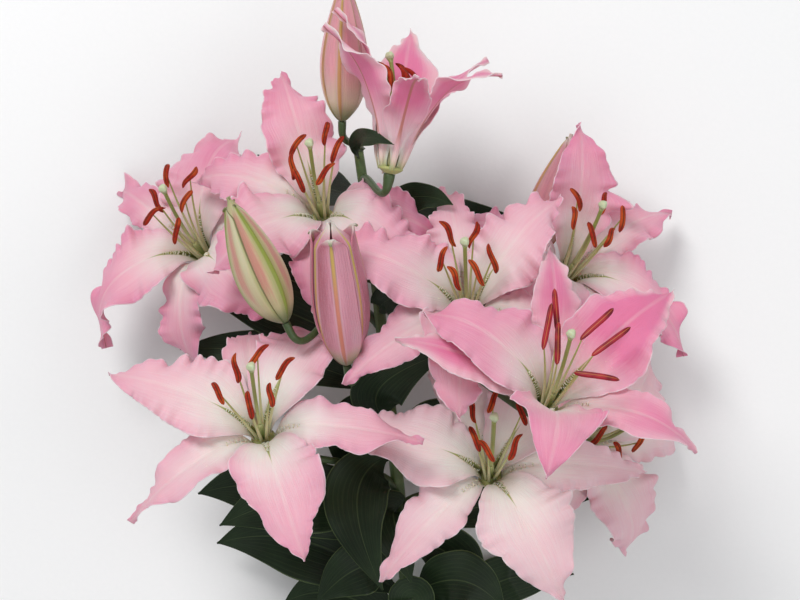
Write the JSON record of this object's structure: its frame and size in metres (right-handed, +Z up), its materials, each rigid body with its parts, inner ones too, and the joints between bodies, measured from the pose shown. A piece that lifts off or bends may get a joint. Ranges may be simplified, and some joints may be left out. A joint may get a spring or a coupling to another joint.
{
  "type": "cut lily",
  "caption": "Cut oriental lily lying down: a leafy stem with a wide head of open pink blooms, long stamens and closed buds.",
  "frame": {"origin": "on the surface that the lily lies on, under the middle of its box", "axes": "+Y from the cut end to the top of the head, +Z up from the surface, +X to the right seen from above"},
  "size_m": [0.4306, 0.6972, 0.2776],
  "materials": {
    "stem": "fresh green stem skin, satin",
    "leaf": "dark green waxy leaf, satin",
    "petal": "pink petal with a cream white heart, soft and matt",
    "bud": "pink and green bud, soft and matt",
    "stamen": "rust red pollen on yellow green stalks, powdery",
    "pistil": "pale green, satin with a moist tip"
  },
  "bodies": {
    "root": {"stem": "stem", "bloom_low_left_tepals": "petal", "bloom_low_left_stamens": "stamen", "bloom_low_left_pistil": "pistil", "bloom_right_tepals": "petal", "bloom_right_stamens": "stamen", "bloom_right_pistil": "pistil", "bloom_low_right_tepals": "petal", "bloom_low_right_stamens": "stamen", "bloom_low_right_pistil": "pistil", "bloom_top_tepals": "petal", "bloom_top_stamens": "stamen", "bloom_top_pistil": "pistil", "bloom_upper_left_tepals": "petal", "bloom_upper_left_stamens": "stamen", "bloom_upper_left_pistil": "pistil", "bloom_upper_right_tepals": "petal", "bloom_upper_right_stamens": "stamen", "bloom_upper_right_pistil": "pistil", "bloom_far_right_tepals": "petal", "bloom_far_right_stamens": "stamen", "bloom_far_right_pistil": "pistil", "bloom_far_left_tepals": "petal", "bloom_far_left_stamens": "stamen", "bloom_far_left_pistil": "pistil", "bloom_low_far_right_tepals": "petal", "bloom_low_far_right_stamens": "stamen", "bloom_low_far_right_pistil": "pistil", "bud_green": "bud", "bud_pink": "bud", "bud_top": "bud", "bud_far_right": "bud", "leaf_front": "leaf", "leaf_middle": "leaf", "leaf_behind": "leaf", "leaf_left": "leaf", "leaf_low_left": "leaf", "leaf_lower_left": "leaf", "leaf_bottom_left": "leaf", "leaf_bottom_right": "leaf", "leaf_bottom_middle": "leaf", "leaf_right": "leaf", "leaf_top": "leaf", "leaf_upper": "leaf", "leaf_upper_middle": "leaf", "leaf_rest_upper_left": "leaf", "leaf_rest_upper_right": "leaf", "leaf_rest_left": "leaf", "leaf_rest_right": "leaf", "leaf_stem_left": "leaf", "leaf_stem_right": "leaf", "leaf_stem_low": "leaf", "leaf_dark_left": "leaf", "leaf_dark_low": "leaf", "leaf_under_front": "leaf", "leaf_under_low": "leaf", "leaf_back_left": "leaf", "leaf_back_middle": "leaf", "leaf_back_right": "leaf", "leaf_back_low": "leaf"}
  },
  "joints": []
}
